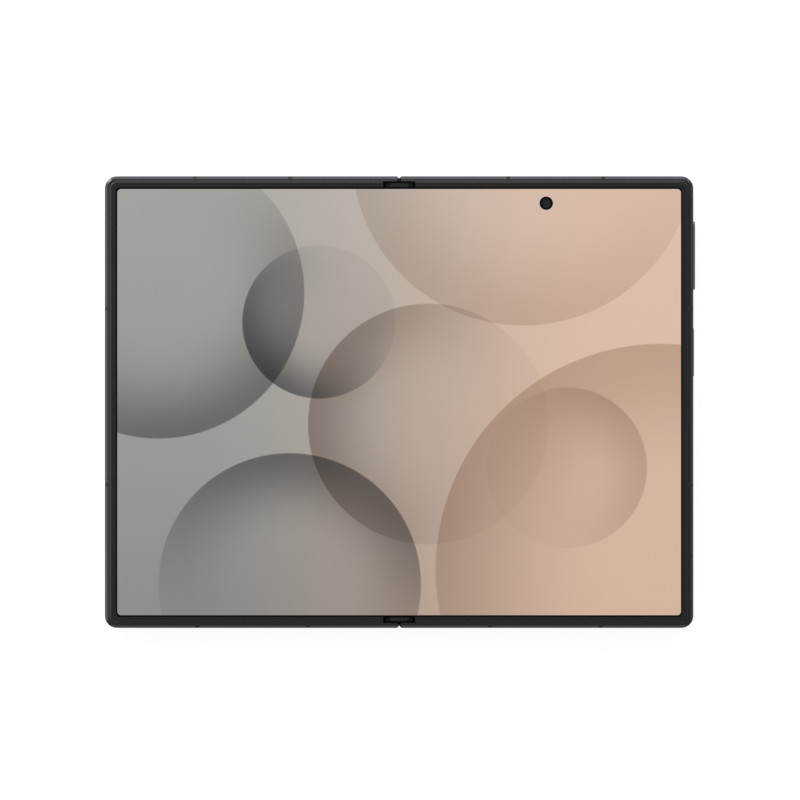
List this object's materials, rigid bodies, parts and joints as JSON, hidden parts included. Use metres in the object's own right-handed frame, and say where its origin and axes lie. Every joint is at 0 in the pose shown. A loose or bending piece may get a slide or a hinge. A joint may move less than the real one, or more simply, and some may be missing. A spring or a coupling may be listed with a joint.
{
  "type": "foldable smartphone",
  "caption": "Book-style foldable smartphone lying open, with a folding inner display, a geared hinge in a spine, side keys, a card tray, a cover display and a rear camera bump.",
  "frame": {"origin": "middle of the open phone's footprint, in the plane of the camera bump's face, the lowest point", "axes": "+X across the fold towards the half with the keys and rear cameras, +Y along the fold towards the front camera's end, +Z out of the inner display"},
  "size_m": [0.1619, 0.1238, 0.0068],
  "materials": {
    "frame_metal": "dark blue-grey anodised, satin",
    "trim_plastic": "black, fine matt",
    "display": "glossy polymer over the picture",
    "steel": "bright stamped steel",
    "gear_steel": "sintered steel",
    "screw_steel": "dark zinc",
    "spring_steel": "spring steel, straw tint",
    "spine_metal": "dark blue-grey anodised, satin",
    "cap_plastic": "dark grey",
    "back_glass": "matt etched, dark blue-grey",
    "cover_glass": "glossy black",
    "lens_glass": "glossy, coated",
    "ring_metal": "dark polished",
    "black_plastic": "black",
    "flash_plastic": "clear over yellow",
    "board": "green solder mask",
    "copper": "copper",
    "flex": "amber film with copper",
    "battery_foil": "laminated pouch",
    "panel": "black panel",
    "strip_plastic": "moulded plastic, slightly lighter than the metal",
    "magnet": "nickel plated"
  },
  "bodies": {
    "main_half": {"main_frame": "frame_metal", "main_trim": "trim_plastic", "main_display": "display", "main_support_plate": "steel", "back_glass": "back_glass", "camera_deck": "frame_metal", "lens_rings": "ring_metal", "lens_glass": "lens_glass", "camera_barrels": "black_plastic", "flash_window": "flash_plastic", "flash_module": "flash_plastic", "front_camera": "black_plastic", "main_board": "board", "shield_cans": "steel", "heat_spreader": "copper", "main_battery": "battery_foil", "charging_coil": "copper", "usb_board": "board", "usb_port_shell": "steel", "usb_tongue": "black_plastic", "main_speaker": "black_plastic", "vibration_motor": "steel", "main_antenna_strips": "strip_plastic", "main_magnets": "magnet", "key_switches": "flex", "main_swing_brackets": "steel", "main_bracket_screws": "screw_steel", "main_arm_guides": "steel"},
    "spine": {"spine_cover": "spine_metal", "spine_end_caps": "cap_plastic", "hinge_blocks": "gear_steel", "block_screws": "screw_steel", "gear_shafts": "steel", "friction_discs": "spring_steel", "display_fold": "display", "hinge_ribbons": "flex"},
    "cover_half": {"cover_frame": "frame_metal", "cover_trim": "trim_plastic", "cover_display": "display", "cover_support_plate": "steel", "cover_glass": "cover_glass", "cover_panel": "panel", "cover_camera": "black_plastic", "cover_battery": "battery_foil", "cover_board": "board", "earpiece": "black_plastic", "cover_speaker": "black_plastic", "cover_antenna_strips": "strip_plastic", "cover_magnets": "magnet", "cover_swing_brackets": "steel", "cover_bracket_screws": "screw_steel", "cover_arm_guides": "steel", "card_reader": "steel"},
    "volume_key": {"volume_key": "frame_metal"},
    "power_key": {"power_key": "frame_metal"},
    "card_tray": {"card_tray": "frame_metal"},
    "main_timing_arms": {"main_timing_arms": "gear_steel"},
    "main_idler_gears": {"main_idler_gears": "gear_steel"},
    "cover_timing_arms": {"cover_timing_arms": "gear_steel"},
    "cover_idler_gears": {"cover_idler_gears": "gear_steel"}
  },
  "joints": [
    {"name": "main_fold", "type": "hinge", "parent": "spine", "child": "main_half", "pos_m": [0.0015, 0, 0.00535], "axis": [0, -1, 0], "range_deg": [0, 90], "deforming": ["display_fold", "hinge_ribbons"]},
    {"name": "cover_fold", "type": "hinge", "parent": "spine", "child": "cover_half", "pos_m": [-0.0015, 0, 0.00535], "axis": [0, 1, 0], "range_deg": [0, 90]},
    {"name": "main_arm_turn", "type": "hinge", "parent": "spine", "child": "main_timing_arms", "pos_m": [0.00234, 0, 0.0043], "axis": [0, 1, 0], "range_deg": [-90, 0]},
    {"name": "main_idler_turn", "type": "hinge", "parent": "spine", "child": "main_idler_gears", "pos_m": [0.00078, 0, 0.0043], "axis": [0, 1, 0], "range_deg": [0, 90]},
    {"name": "cover_idler_turn", "type": "hinge", "parent": "spine", "child": "cover_idler_gears", "pos_m": [-0.00078, 0, 0.0043], "axis": [0, 1, 0], "range_deg": [-90, 0]},
    {"name": "cover_arm_turn", "type": "hinge", "parent": "spine", "child": "cover_timing_arms", "pos_m": [-0.00234, 0, 0.0043], "axis": [0, 1, 0], "range_deg": [0, 90]},
    {"name": "volume_press", "type": "hinge", "parent": "main_half", "child": "volume_key", "pos_m": [0.07902, 0.0402, 0.0042], "axis": [0, 0, 1], "range_deg": [-1.5, 1.5], "stiffness_Nm_per_rad": 0.4},
    {"name": "power_press", "type": "slide", "parent": "main_half", "child": "power_key", "axis": [-1, 0, 0], "range_m": [0, 0.0002], "stiffness_N_per_m": 5000},
    {"name": "tray_slide", "type": "slide", "parent": "cover_half", "child": "card_tray", "axis": [0, -1, 0], "range_m": [0, 0.027]}
  ],
  "couplings": [
    {"joint": "cover_fold", "follows": "main_fold", "ratio": 1},
    {"joint": "main_arm_turn", "follows": "main_fold", "ratio": -1},
    {"joint": "main_idler_turn", "follows": "main_fold", "ratio": 1},
    {"joint": "cover_idler_turn", "follows": "main_fold", "ratio": -1},
    {"joint": "cover_arm_turn", "follows": "main_fold", "ratio": 1}
  ]
}
